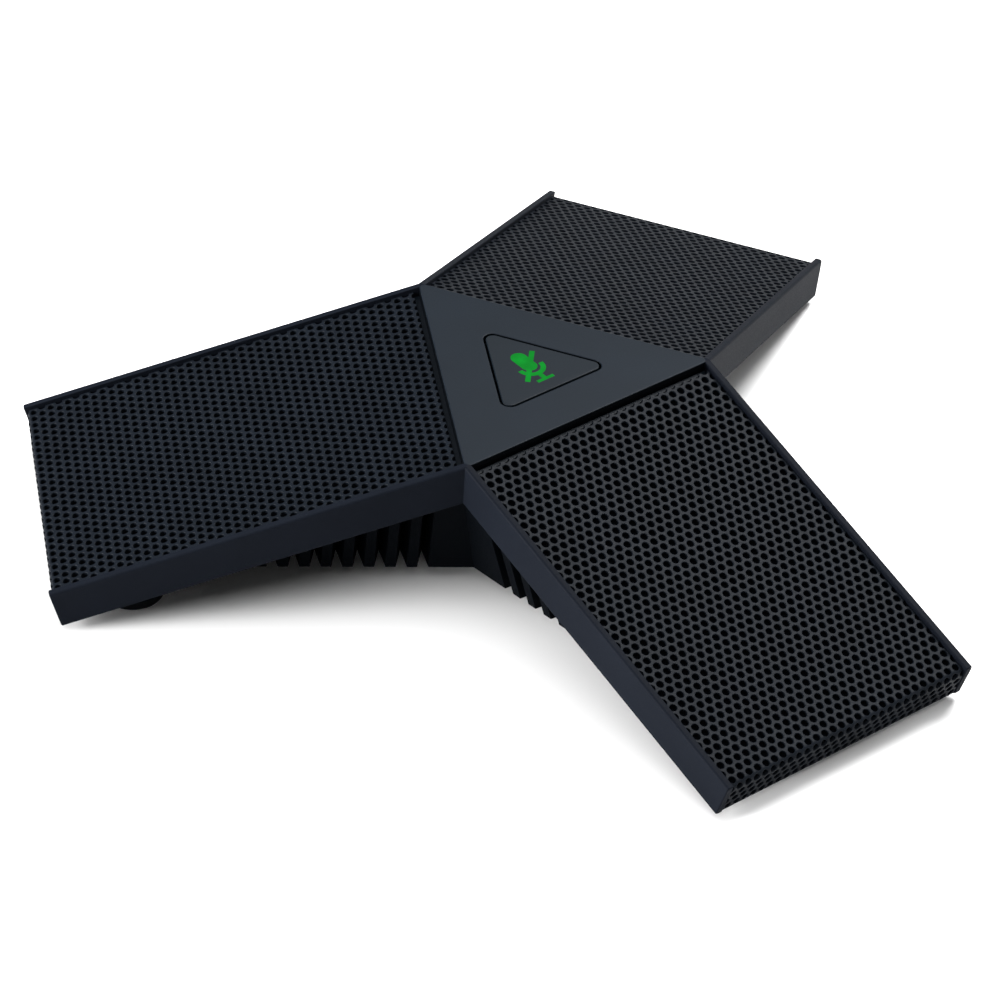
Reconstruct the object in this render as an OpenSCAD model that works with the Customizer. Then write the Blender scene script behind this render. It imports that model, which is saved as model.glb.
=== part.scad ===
// Three-armed conference speakerphone with a lit mute key, perforated arms and a louvred base.
// Millimetres, +Z up, z = 0 on the table. The left arm points along -X.

/* [Overall] */
// Height of the deck above the table
deck_height = 24.6; // [24.4:0.1:26]
// Thickness of the deck
deck_thickness = 1.2; // [1:0.1:1.4]

/* [Arms] */
// Width of an arm across the outside of its rails
arm_width = 44.4; // [43.5:0.1:46]
// Length of an arm along its slope
arm_length = 59.4; // [59:0.1:62]
// Angle that an arm slopes down
arm_tilt = 17.65; // [17:0.05:17.7]
// Height of a rail, square to the slope
rail_height = 5.9; // [5.8:0.1:6.1]
// Thickness of a rail
rail_thickness = 1.1; // [0.9:0.1:1.4]
// Thickness of an arm's floor
floor_thickness = 1.2; // [1:0.1:1.4]

/* [Grilles] */
// Thickness of the perforated sheet
grille_thickness = 0.5; // [0.4:0.05:0.6]
// Depth of the sheet below the tops of the rails
grille_recess = 0.6; // [0.4:0.1:0.7]
// Gap between the deck's edge and the sheet
grille_gap = 1.1; // [0.8:0.1:1.4]
// Distance from the rails' ends back to the sheet's end face
grille_setback = 0.15; // [0.1:0.05:0.5]
// Outside radius of the fold at the tip
grille_fold = 0.8; // [0.7:0.1:1]
// Thickness of the acoustic cloth
cloth_thickness = 0.25; // [0.2:0.05:0.3]

/* [Mute key] */
// Distance from the middle of the key to each of its sides
key_inradius = 5.35; // [5.2:0.05:5.45]
// Radius of the key's corners
key_corner = 1.1; // [0.9:0.1:1.4]
// Gap round the key
key_gap = 0.33; // [0.3:0.01:0.4]

/* [Base] */
// Height of the base above the table
base_clearance = 3.1; // [3:0.1:3.4]
// Distance from the middle to the base's inner corners, at the bottom
base_corner = 19.5; // [19.3:0.1:20]
// Angle that the base's walls lean out
base_draft = 18.4; // [17.5:0.1:18.8]
// Angle that the base's walls close in towards the tips
base_taper = 5.4; // [5:0.1:5.8]
// Distance from the middle to the end of a base arm
base_reach = 47.4; // [46.5:0.1:48]
// Thickness of the base's walls, grooves included
base_wall = 5; // [4.9:0.1:5.1]
// Distance between grooves
groove_pitch = 3; // [2.9:0.1:3.1]
// Width of a groove's mouth
groove_mouth = 1.6; // [1.3:0.1:1.8]
// Depth of a groove
groove_depth = 3.8; // [3.4:0.1:3.9]

/* [Feet] */
// Radius of a rubber foot
foot_radius = 4.5; // [4.2:0.1:4.6]
// Distance from the middle to a foot, along the arm
foot_reach = 57.2; // [56.8:0.1:57.6]
// Distance from the arm's centre line to a foot
foot_offset = 14.1; // [13.6:0.1:14.6]

/* [Hidden] */
ARMS = ["left", "front", "rear"];
SIDES = ["a", "b"];
$fn = 64;

arm_angles = [180, 300, 60];
corner_angles = [0, 120, 240];
far = 120;                                  // longer than anything it has to cut
hair = 0.05;                                // clearance between pieces that touch

deck_inradius = arm_width / (2 * sqrt(3));
tip_reach = deck_inradius + arm_length * cos(arm_tilt);
// The hub's axis stands where the bounding box is centred on the origin.
hub_x = (tip_reach - (tip_reach * cos(60) + arm_width / 2 * sin(60))) / 2;

frame_colour = "#30353c";
grille_colour = "#2a2e34";
base_colour = "#0c0d0f";
rubber_colour = "#141414";
board_colour = "#1d4d33";
metal_colour = "#b9bcc0";

inner_width = arm_width - 2 * rail_thickness;
cloth_top = grille_recess + grille_thickness + hair;
ledge_top = cloth_top + cloth_thickness + hair;
ledge_width = 1.2;
ledge_thickness = 0.9;
skirt_thickness = 1.2;
skirt_drop = 1.3;
deck_edge = deck_inradius - 0.02;           // the deck stops just inside the ridge of its rails
rail_ridge = deck_height - 0.02;            // and the ridge lies just below the deck
corner_reach = 2 * deck_inradius;           // where the outer walls of two arms meet
corner_fill = 0.12;                         // depth of the fillet that fills that corner
floor_top = rail_height - floor_thickness;
tip_wall_x = arm_length - grille_setback - 2.2;
sheet_foot = 0.15;                          // from a sheet's lower edge to the rails' lower edges
corner_cut_reach = corner_reach - 1.73;
corner_cut_bottom = deck_height - rail_height / cos(arm_tilt) - 0.31;

key_flange_drop = 0.2;
key_flange_thickness = 0.7;
key_flange_extra = 1.2;
deck_underside = deck_height - deck_thickness;
flange_top = deck_underside - key_flange_drop;
key_underside = flange_top - key_flange_thickness;
lens_thickness = 0.6;
guide_radius = 4.6;
guide_length = 3.6;
icon_offset = 0.5;

// Boards
board_thickness = 1.2;
board_radius = 16.2;
board_top = deck_height - 5.6;
board_bottom = board_top - board_thickness;
board_screw_radius = 14.4;
dome_outer = 6.2;
dome_wall = 0.7;
switch_reach = 9;
switch_size = 3.5;
switch_height = 1.6;
plunger_radius = 0.75;
plunger_gap = 0.05;
plunger_height = 0.8;

// Foot posts and housing screws
post_radius = foot_radius + 0.2;
foot_height = 1.55;
counterbore_radius = 2.1;
screw_shank = 1;
screw_head_bottom = 2.3;
screw_head_top = 3.3;
screw_tip = 8;
beam_x = (foot_reach - deck_inradius) / cos(arm_tilt);
beam_length = 5.2;
mic_passage = 9;

// Base
corner_u = base_corner * cos(60);
corner_v = base_corner * sin(60);
first_groove = 7.1;
groove_count = 10;
vent_width = 0.7;
vent_bottom = 2.5;
vent_height = 6;
cavity_reach = base_reach - 3.4;
cover_thickness = 1.2;
cover_screw_reach = 34;
cross_wall_thickness = 2;
cover_boss_radius = 2.3;

// Cable socket, in the rear wall of the left arm, facing +Y
socket_x = -21;
socket_size = [13.2, 12, 10.2];
socket_front = 16.4;
socket_bottom = 4.4;
socket_mouth = [9.7, 10, 6.8];
socket_mouth_bottom = 6.2;
latch_mouth = [6, 10, 1.2];
first_groove_by_socket = 5;

// Microphones
mic_x = 52.4;
mic_board_size = [6, 11, 0.8];
capsule_radius = 2;
boot_radius = 2.8;

// Loudspeaker, facing down
speaker_radius = 13.5;
speaker_bottom = base_clearance + cover_thickness + 0.7;

// ---------------------------------------------------------------- placing

module on_hub(angle) {
    translate([hub_x, 0, 0])
        rotate([0, 0, angle])
            children();
}

// The arm's own frame: X down the slope, Y across the arm, Z square to the slope.
// Its origin is the middle of the deck's edge, and the rails' tops lie at z = 0.
module on_slope(angle) {
    on_hub(angle)
        translate([deck_inradius, 0, deck_height])
            rotate([0, arm_tilt, 0])
                children();
}

// A base wall's frame: X along the wall from the inner corner, Z up it, the outside at y = 0.
module on_wall(angle, side) {
    on_hub(angle)
        scale_side(side)
            translate([corner_u, corner_v, base_clearance])
                rotate([0, 0, -base_taper])
                    rotate([-base_draft, 0, 0])
                        children();
}

module scale_side(side) {
    if (side > 0) children();
    else mirror([0, 1, 0]) children();
}

// Plan of the three arms together, drawn in by inset from the rails' outer faces.
module plan_outline(inset) {
    half = arm_width / 2 - inset;
    polygon([
        for (angle = arm_angles)
            for (point = [[half / tan(60), -half], [far, -half], [far, half]])
                [point[0] * cos(angle) - point[1] * sin(angle), point[0] * sin(angle) + point[1] * cos(angle)]
    ]);
}

// All that lies under the three slopes, depth below the rails' tops, as far as reach down each arm.
module under_roof(depth, reach = far) {
    intersection_for (angle = arm_angles)
        on_slope(angle)
            translate([-far, -far, -depth - far])
                cube([far + reach, 2 * far, far]);
}

// A layer of the arms between two depths and two insets, out to reach.
module arm_layer(insets, depths, reach) {
    intersection() {
        on_hub(0)
            linear_extrude(height = rail_ridge)
                difference() {
                    plan_outline(insets[0]);
                    if (insets[1] > insets[0]) plan_outline(insets[1]);
                }
        difference() {
            under_roof(depths[0], reach);
            under_roof(depths[1]);
        }
    }
}

module below(top) {
    translate([-far, -far, top - far])
        cube([2 * far, 2 * far, far]);
}

module box_on_slope(angle, x, width, depth, thickness, y = 0) {
    on_slope(angle)
        translate([x[0], y - width / 2, -depth - thickness])
            cube([x[1] - x[0], width, thickness]);
}

module ring(outer, inner, height) {
    difference() {
        cylinder(r = outer, h = height);
        translate([0, 0, -1])
            cylinder(r = inner, h = height + 2);
    }
}

// ---------------------------------------------------------------- top frame

module rounded_triangle(inradius, corner) {
    half_side = (inradius - corner) * sqrt(3);
    for (angle = corner_angles)
        rotate(angle)
            translate([2 * (inradius - corner), 0])
                circle(r = corner);
    // The sides stop just short of tangent, so that each meets its corners at a clear point.
    for (angle = arm_angles)
        rotate(angle)
            translate([0, -half_side])
                square([inradius - 0.004, 2 * half_side]);
}

module rails() {
    arm_layer([0, rail_thickness], [0, rail_height], arm_length);
}

module ledges() {
    arm_layer([rail_thickness - 0.1, rail_thickness + ledge_width],
        [ledge_top, ledge_top + ledge_thickness], tip_wall_x);
    for (angle = arm_angles)
        box_on_slope(angle, [-0.6, grille_gap + 1.4], inner_width + 0.3,
            ledge_top + 0.04, ledge_thickness);
}

module tip_beam(angle) {
    difference() {
        box_on_slope(angle, [beam_x - beam_length / 2, beam_x + beam_length / 2], inner_width + 0.3,
            ledge_top + 0.04, floor_top - ledge_top - 0.04 - hair);
        box_on_slope(angle, [beam_x - beam_length, beam_x + beam_length], mic_passage,
            ledge_top + ledge_thickness, floor_top);
        foot_places(angle)
            cylinder(r = screw_shank + 0.02, h = deck_height);
    }
}

module foot_places(angle) {
    on_hub(angle)
        for (side = [-1, 1])
            translate([foot_reach, side * foot_offset, 0])
                children();
}

module corner_triangle(inradius) {
    polygon([for (angle = corner_angles) 2 * inradius * [cos(angle), sin(angle)]]);
}

// The deck, with a short wall under each of its edges that carries the shelf of a grille.
module deck() {
    on_hub(0)
        difference() {
            translate([0, 0, deck_underside - skirt_drop])
                linear_extrude(height = deck_thickness + skirt_drop)
                    corner_triangle(deck_edge);
            translate([0, 0, deck_underside - skirt_drop - 1])
                linear_extrude(height = skirt_drop + 1)
                    corner_triangle(deck_edge - skirt_thickness);
            translate([0, 0, deck_underside - 1])
                linear_extrude(height = deck_thickness + 2)
                    rounded_triangle(key_inradius + key_gap, key_corner + key_gap);
        }
}

// Blocks that stiffen the corners between the arms and fillet them on the outside.
module corner_blocks() {
    for (angle = corner_angles)
        on_hub(angle) {
            corner_block([24.9, corner_reach + corner_fill], 0.25,
                [corner_cut_bottom + hair, deck_height]);
            corner_block([22.6, corner_reach - 0.3], 0.7, [deck_underside - 2.8, deck_underside + 0.1]);
            corner_block([corner_cut_reach + hair, corner_reach - 0.35], 0.65,
                [corner_cut_bottom + 0.1, deck_underside - 2.4]);
        }
}

module corner_block(reach, half_width, height) {
    translate([reach[0], -half_width, height[0]])
        cube([reach[1] - reach[0], 2 * half_width, height[1] - height[0]]);
}

module board_bosses() {
    for (angle = corner_angles)
        on_hub(angle)
            translate([board_screw_radius, 0, board_top])
                difference() {
                    cylinder(r = 1.7, h = deck_underside - board_top + 0.1);
                    translate([0, 0, -1])
                        cylinder(r = screw_shank * 0.8 + 0.02, h = 4.2);
                }
}

module top_frame() {
    color(frame_colour)
        union() {
            deck();
            corner_blocks();
            board_bosses();
            rails();
            ledges();
            for (angle = arm_angles)
                tip_beam(angle);
        }
}

// ---------------------------------------------------------------- grilles and cloth

// Side view of a sheet that runs down the slope and folds down at the tip.
module folded_sheet(start, end, top, thickness, fold, drop) {
    union() {
        translate([start, -top - thickness])
            square([end - fold - start, thickness]);
        translate([end - thickness, -drop])
            square([thickness, drop - top - fold]);
        intersection() {
            translate([end - fold, -top - fold])
                difference() {
                    circle(r = fold);
                    circle(r = fold - thickness);
                }
            translate([end - fold, -top - fold])
                square([fold, fold]);
        }
    }
}

module sheet_on_arm(index, width, start, end, top, thickness, fold, drop) {
    on_slope(arm_angles[index])
        rotate([90, 0, 0])
            translate([0, 0, -width / 2])
                linear_extrude(height = width)
                    folded_sheet(start, end, top, thickness, fold, drop);
}

module grille(index) {
    color(grille_colour)
        sheet_on_arm(index, inner_width - 2 * hair, grille_gap, arm_length - grille_setback,
            grille_recess, grille_thickness, grille_fold, rail_height - sheet_foot);
}

module acoustic_cloth(index) {
    color("#101113")
        sheet_on_arm(index, inner_width - 2 * hair, grille_gap,
            arm_length - grille_setback - grille_thickness - hair, cloth_top, cloth_thickness,
            grille_fold - grille_thickness, rail_height - sheet_foot);
}

// ---------------------------------------------------------------- bottom shell

// One arm of the base, from its bottom up to the arm's floor, drawn in by inset.
module base_wedge(angle, inset, bottom, reach, depth) {
    intersection() {
        intersection_for (side = [-1, 1])
            on_wall(angle, side)
                translate([-far / 2, -far, -far / 2])
                    cube([far * 2, far - inset, far * 2]);
        on_hub(angle)
            translate([-5, -far / 2, bottom])
                cube([reach + 5, far, far]);
        under_roof(depth);
    }
}

module grooves(angle, side, first) {
    for (i = [first : groove_count - 1])
        on_wall(angle, side)
            translate([first_groove + i * groove_pitch, 0, 0]) {
                translate([0, 0, -3])
                    linear_extrude(height = far / 2)
                        polygon([
                            [-groove_mouth / 2, 0],
                            [-groove_mouth / 2, 1],
                            [groove_mouth / 2, 1],
                            [groove_mouth / 2, 0],
                            [0, -groove_depth]
                        ]);
                if (i % 2 == 0)
                    translate([-vent_width / 2, -base_wall - 1, vent_bottom])
                        cube([vent_width, base_wall, vent_height * (1 - i / groove_count)]);
            }
}

module grooved_base(index) {
    angle = arm_angles[index];
    difference() {
        union() {
            base_wedge(angle, 0, base_clearance, base_reach, rail_height + hair);
            intersection() {
                base_wedge(angle, 0.3, deck_height / 4, base_reach - 0.3, rail_height - 0.3);
                on_hub(0)
                    linear_extrude(height = deck_height)
                        plan_outline(rail_thickness + 0.3);
            }
        }
        grooves(angle, 1, 0);
        grooves(angle, -1, index == 0 ? first_groove_by_socket : 0);
    }
}

module floors() {
    arm_layer([rail_thickness + hair, 0], [floor_top, rail_height], tip_wall_x + 1);
}

module tip_wall(angle) {
    box_on_slope(angle, [tip_wall_x, tip_wall_x + 0.95], inner_width - 4 * hair,
        ledge_top + hair, floor_top - ledge_top);
}

// Room for the blocks of the top frame at the corners between the arms.
module corner_cuts() {
    for (angle = corner_angles)
        on_hub(angle)
            translate([corner_cut_reach, -1.2, corner_cut_bottom])
                cube([5, 2.4, deck_height]);
}

module foot_posts(angle) {
    intersection() {
        foot_places(angle)
            translate([0, 0, foot_height + hair])
                cylinder(r = post_radius, h = deck_height);
        on_slope(angle)
            translate([0, -far / 2, -rail_height - far + 0.6])
                cube([arm_length - 2, far, far]);
    }
}

module screw_holes(angle) {
    foot_places(angle) {
        cylinder(r = screw_shank + 0.15, h = deck_height);
        cylinder(r = counterbore_radius, h = screw_head_top + hair);
    }
}

module cover_boss(angle) {
    intersection() {
        on_hub(angle)
            translate([0, 0, base_clearance + cover_thickness + hair]) {
                translate([cover_screw_reach - cross_wall_thickness / 2, -16, 0])
                    cube([cross_wall_thickness, 32, far]);
                translate([cover_screw_reach, 0, 0])
                    cylinder(r = cover_boss_radius, h = far);
            }
        base_wedge(angle, base_wall - 0.3, 0, base_reach, floor_top);
    }
}

// Room for the socket, and the way out to it under the arm's floor.
module socket_hole() {
    socket_room(socket_front + hair - 4);
    intersection() {
        socket_room(far);
        on_slope(180)
            translate([-far / 2, -far / 2, -far - rail_height])
                cube([2 * far, far, far]);
    }
}

module socket_room(depth) {
    on_hub(0)
        translate([socket_x - socket_size[0] / 2 - hair, 4, socket_bottom - hair])
            cube([socket_size[0] + 2 * hair, depth, socket_size[2] + 2 * hair]);
}

module bottom_shell() {
    color(base_colour)
        difference() {
            union() {
                difference() {
                    union() {
                        floors();
                        for (index = [0 : 2])
                            grooved_base(index);
                    }
                    union() {
                        for (angle = arm_angles)
                            base_wedge(angle, base_wall, base_clearance - 1, cavity_reach, -1);
                    }
                    on_hub(0)
                        translate([0, 0, board_bottom - 1.4])
                            cylinder(r = board_radius + 0.4, h = deck_height);
                }
                for (angle = arm_angles) {
                    tip_wall(angle);
                    foot_posts(angle);
                    cover_boss(angle);
                }
            }
            corner_cuts();
            for (angle = arm_angles) {
                screw_holes(angle);
                on_hub(angle)
                    translate([cover_screw_reach, 0, 0])
                        cylinder(r = screw_shank + 0.02, h = base_clearance + 6);
            }
            socket_hole();
        }
}

module base_cover() {
    color(base_colour)
        difference() {
            intersection() {
                union()
                    for (angle = arm_angles)
                        base_wedge(angle, base_wall + 0.1, base_clearance, cavity_reach - 0.1, 0);
                below(base_clearance + cover_thickness);
            }
            for (angle = arm_angles)
                on_hub(angle)
                    translate([cover_screw_reach, 0, 0]) {
                        cylinder(r = screw_shank + 0.15, h = deck_height);
                        cylinder(r = 2, h = base_clearance + 0.8);
                    }
            on_hub(0)
                sound_slots();
        }
}

module sound_slots() {
    for (i = [-3 : 3])
        translate([i * 2.6 - 0.6, -slot_half(i * 2.6), 0])
            cube([1.2, 2 * slot_half(i * 2.6), deck_height]);
}

function slot_half(x) = sqrt(pow(speaker_radius - 3.5, 2) - x * x);

// ---------------------------------------------------------------- feet

module foot(arm, side) {
    bevel = 0.45;
    color(rubber_colour)
        on_hub(arm_angles[arm])
            translate([foot_reach, side * foot_offset, 0])
                rotate_extrude()
                    polygon([
                        [0, 0],
                        [foot_radius - bevel, 0],
                        [foot_radius - bevel * 0.3, bevel * 0.3],
                        [foot_radius, bevel],
                        [foot_radius, foot_height],
                        [counterbore_radius - 0.1, foot_height],
                        [counterbore_radius - 0.1, screw_head_bottom - 0.1],
                        [0, screw_head_bottom - 0.1]
                    ]);
}

// ---------------------------------------------------------------- mute key

// A microphone with a slash across it. Up is +Y.
module icon_shape() {
    head_radius = 1.2;
    head_rows = [0.2, 2.4];
    cradle_radius = 2.2;
    cradle_row = -0.1;
    stroke = 0.75;
    foot_width = 2.9;
    foot_row = -3.75;
    foot_thickness = 0.55;
    slash = [7.5, 0.75];
    translate([0.1, icon_offset]) {
        for (y = head_rows)
            translate([0, y])
                circle(r = head_radius);
        translate([-head_radius + 0.01, head_rows[0]])
            square([2 * head_radius - 0.02, head_rows[1] - head_rows[0]]);
        intersection() {
            translate([0, cradle_row])
                difference() {
                    circle(r = cradle_radius);
                    circle(r = cradle_radius - stroke);
                }
            translate([-far, cradle_row - far])
                square([2 * far, far]);
        }
        translate([-stroke / 2, foot_row + foot_thickness / 2])
            square([stroke, cradle_row - cradle_radius - foot_row]);
        translate([-foot_width / 2, foot_row])
            square([foot_width, foot_thickness]);
        rotate(46)
            translate(-slash / 2)
                square(slash);
    }
}

module key_solid() {
    translate([0, 0, key_underside])
        linear_extrude(height = key_flange_thickness)
            rounded_triangle(key_inradius + key_flange_extra, key_corner + key_flange_extra / 2);
    translate([0, 0, flange_top - 0.1])
        linear_extrude(height = deck_height - flange_top + 0.1)
            rounded_triangle(key_inradius, key_corner);
    rotate([0, 0, 120])
        translate([switch_reach, 0, board_top + switch_height + plunger_height])
            cylinder(r = 1, h = key_underside - board_top - switch_height - plunger_height + 0.1);
}

module mute_key() {
    color(frame_colour)
        on_hub(0)
            difference() {
                key_solid();
                translate([0, 0, deck_height - lens_thickness])
                    rotate([0, 0, 30])
                        linear_extrude(height = 2)
                            icon_shape();
                translate([0, 0, key_underside - 1])
                    cylinder(r = guide_radius + hair,
                        h = deck_height - lens_thickness - key_underside + 1);
            }
}

module icon_lens() {
    color("#12b43c")
        on_hub(0)
            translate([0, 0, deck_height - lens_thickness])
                rotate([0, 0, 30])
                    linear_extrude(height = lens_thickness)
                        icon_shape();
}

module light_guide() {
    color("#dfe8e2", 0.6)
        on_hub(0)
            translate([0, 0, deck_height - lens_thickness - guide_length - hair])
                cylinder(r = guide_radius, h = guide_length);
}

module return_dome() {
    color("#c9ccd0")
        on_hub(0)
            translate([0, 0, board_top + hair])
                rotate_extrude()
                    polygon([
                        [dome_outer - dome_wall, 0],
                        [dome_outer, 0],
                        [dome_outer - 0.6, key_underside - board_top - 2 * hair],
                        [dome_outer - 0.6 - dome_wall, key_underside - board_top - 2 * hair]
                    ]);
}

module at_switch() {
    on_hub(120)
        translate([switch_reach, 0, board_top])
            children();
}

module switch_body() {
    color("#2b2b2b")
        at_switch()
            difference() {
                translate([-switch_size / 2, -switch_size / 2, 0])
                    cube([switch_size, switch_size, switch_height]);
                translate([0, 0, switch_height - 0.9])
                    cylinder(r = plunger_radius + plunger_gap, h = 2);
            }
}

module switch_plunger() {
    color("#e8e2d0")
        at_switch()
            translate([0, 0, switch_height - 0.4])
                cylinder(r = plunger_radius, h = plunger_height + 0.4);
}

module status_led() {
    color("#f2f2ea")
        on_hub(30)
            translate([-1.75, -1.4, board_top])
                cube([3.5, 2.8, 0.8]);
}

// ---------------------------------------------------------------- electronics

module main_board() {
    color(board_colour)
        difference() {
            on_hub(0)
                translate([0, 0, board_bottom])
                    cylinder(r = board_radius, h = board_thickness);
            for (angle = corner_angles)
                on_hub(angle)
                    translate([board_screw_radius, 0, 0])
                        cylinder(r = screw_shank * 0.8 + 0.15, h = deck_height);
        }
}

module shield_can() {
    color(metal_colour)
        on_hub(300)
            translate([7.2, -4.5, board_top])
                cube([5.2, 9, 1.5]);
}

module audio_chip() {
    color("#1a1a1c")
        on_hub(0)
            translate([-3.5, -13, board_bottom - 1])
                cube([7, 7, 1]);
}

module flex_sockets() {
    color("#d9d4c4")
        for (angle = arm_angles)
            on_hub(angle)
                translate([board_radius - 2.6, -3.2, board_top])
                    cube([2, 6.4, 0.9]);
}

module cable_socket() {
    color("#17181a")
        on_hub(0)
            translate([socket_x, 0, 0])
                difference() {
                    translate([-socket_size[0] / 2, socket_front - socket_size[1], socket_bottom])
                        cube(socket_size);
                    translate([-socket_mouth[0] / 2, socket_front - socket_mouth[1], socket_mouth_bottom])
                        cube([socket_mouth[0], socket_mouth[1] + 1, socket_mouth[2]]);
                    translate([-latch_mouth[0] / 2, socket_front - latch_mouth[1],
                        socket_mouth_bottom - latch_mouth[2]])
                        cube([latch_mouth[0], latch_mouth[1] + 1, latch_mouth[2] + 0.1]);
                }
}

module socket_contacts() {
    color("#c9a24a")
        on_hub(0)
            for (i = [0 : 5])
                translate([socket_x - 3.3 + i * 1.27 - 0.25, socket_front - socket_mouth[1] + 2,
                    socket_mouth_bottom + socket_mouth[2] - 0.9])
                    cube([0.5, 6.5, 0.4]);
}

module socket_board() {
    color(board_colour)
        on_hub(0)
            translate([socket_x - 6.6, socket_front - socket_size[1], socket_bottom + socket_size[2] + hair])
                cube([13.2, 9, 1]);
}

module socket_flex() {
    low = socket_bottom + socket_size[2] + 1 + 2 * hair;
    start = socket_x + 4;
    end = socket_x + 9;
    tape = 0.2;
    color("#c98a3a")
        on_hub(0)
            translate([0, 10, 0])
                rotate([90, 0, 0])
                    linear_extrude(height = 5)
                        polygon([
                            [start, low],
                            [start + 3.4, low],
                            [end, board_bottom - tape - hair],
                            [end + 4, board_bottom - tape - hair],
                            [end + 4, board_bottom - hair],
                            [end - 0.2, board_bottom - hair],
                            [start + 3.2, low + tape],
                            [start, low + tape]
                        ]);
}

module mic_board(index) {
    color(board_colour)
        box_on_slope(arm_angles[index], [mic_x - mic_board_size[0] / 2, mic_x + mic_board_size[0] / 2],
            mic_board_size[1], floor_top - mic_board_size[2] - hair, mic_board_size[2]);
}

module at_mic(index) {
    on_slope(arm_angles[index])
        translate([mic_x, 0, -floor_top + mic_board_size[2] + 2 * hair])
            children();
}

module mic_capsule(index) {
    color(metal_colour)
        at_mic(index)
            cylinder(r = capsule_radius, h = 1.3);
}

module mic_boot(index) {
    color(rubber_colour)
        at_mic(index)
            ring(boot_radius, capsule_radius + hair, 2);
}

// Flat tape from the board's edge down the arm to its microphone.
module mic_flex(index) {
    tape = 0.2;
    slope_drop = floor_top - 0.35;
    end_x = mic_x - mic_board_size[0] / 2 - 0.1;
    bend_u = board_radius + 6;
    end_u = deck_inradius + end_x * cos(arm_tilt) - slope_drop * sin(arm_tilt);
    top = board_top + 0.9 + hair;
    path = [
        [board_radius - 2.4, top],
        [board_radius + 0.6, top],
        [bend_u, slope_z(bend_u, slope_drop)],
        [end_u, slope_z(end_u, slope_drop)]
    ];
    color("#c98a3a")
        on_hub(arm_angles[index])
            rotate([90, 0, 0])
                translate([0, 0, -2.5])
                    linear_extrude(height = 5)
                        polygon(concat(path, [for (i = [3 : -1 : 0]) path[i] + [0, tape]]));
}

// Height of the plane that lies depth under the rails' tops, square to the slope.
function slope_z(u, depth) = deck_height - (u - deck_inradius) * tan(arm_tilt) - depth / cos(arm_tilt);

// ---------------------------------------------------------------- loudspeaker

module speaker_part(tint) {
    color(tint)
        on_hub(0)
            translate([0, 0, speaker_bottom])
                rotate_extrude()
                    children();
}

module speaker_basket() {
    speaker_part("#2a2c2f")
        polygon([[11.6, 0], [speaker_radius, 0], [speaker_radius, 1], [12.3, 1], [8.4, 5.4], [4.6, 5.4],
            [4.6, 4.6], [8, 4.6], [11.6, 0.6]]);
}

module speaker_magnet() {
    speaker_part("#5b5e63")
        polygon([[0, 5.45], [8.4, 5.45], [8.4, 9], [7.8, 9.4], [0, 9.4]]);
}

module speaker_cone() {
    speaker_part("#1c1d1f")
        polygon([[0, 2.1], [2.6, 2.5], [3.4, 3.4], [10, 0.5], [10, 0.8], [3.4, 3.9], [0, 3.9]]);
}

module speaker_surround() {
    speaker_part(rubber_colour)
        polygon([[10.05, 0.45], [10.3, 0.15], [11.1, 0.15], [11.5, 0.45], [11.5, 0.75], [10.9, 0.45],
            [10.5, 0.45], [10.05, 0.8]]);
}

module speaker_gasket() {
    color("#3a3b3d")
        on_hub(0)
            translate([0, 0, base_clearance + cover_thickness + hair])
                ring(speaker_radius, 11.6, 0.6);
}

module speaker_leads() {
    color("#a33a2c")
        for (side = [-1, 1])
            on_hub(90)
                translate([11.2, side * 1.2, speaker_bottom + 2.6])
                    cylinder(r = 0.4, h = board_bottom - speaker_bottom - 2.6 - hair);
}

// ---------------------------------------------------------------- screws

module pan_screw(head, shank, length) {
    cylinder(r = head, h = 1);
    translate([0, 0, 0.9])
        cylinder(r = shank, h = length);
}

module housing_screws() {
    color(metal_colour)
        for (angle = arm_angles)
            foot_places(angle)
                translate([0, 0, screw_head_bottom])
                    pan_screw(1.8, screw_shank, screw_tip - screw_head_top);
}

module cover_screws() {
    color(metal_colour)
        for (angle = arm_angles)
            on_hub(angle)
                translate([cover_screw_reach, 0, base_clearance - 0.25])
                    pan_screw(1.8, screw_shank, 4.2);
}

module board_screws() {
    color(metal_colour)
        for (angle = corner_angles)
            on_hub(angle)
                translate([board_screw_radius, 0, board_bottom - 1])
                    pan_screw(1.5, screw_shank * 0.8, 4);
}

// ---------------------------------------------------------------- assembly

top_frame();
bottom_shell();
base_cover();
for (index = [0 : 2]) {
    arm = ARMS[index];
    grille(index);
    acoustic_cloth(index);
    foot(index, -1);
    foot(index, 1);
    mic_board(index);
    mic_capsule(index);
    mic_boot(index);
    mic_flex(index);
}
mute_key();
icon_lens();
light_guide();
return_dome();
switch_body();
switch_plunger();
status_led();
main_board();
shield_can();
audio_chip();
flex_sockets();
cable_socket();
socket_contacts();
socket_board();
socket_flex();
speaker_basket();
speaker_magnet();
speaker_cone();
speaker_surround();
speaker_gasket();
speaker_leads();
housing_screws();
cover_screws();
board_screws();
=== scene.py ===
"""Three-armed conference speakerphone: perforated arms, a lit mute key and a louvred base."""

import math

import bmesh
import bpy
from bpy.props import FloatProperty, FloatVectorProperty, IntProperty, PointerProperty
from mathutils import Matrix, Vector


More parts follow.
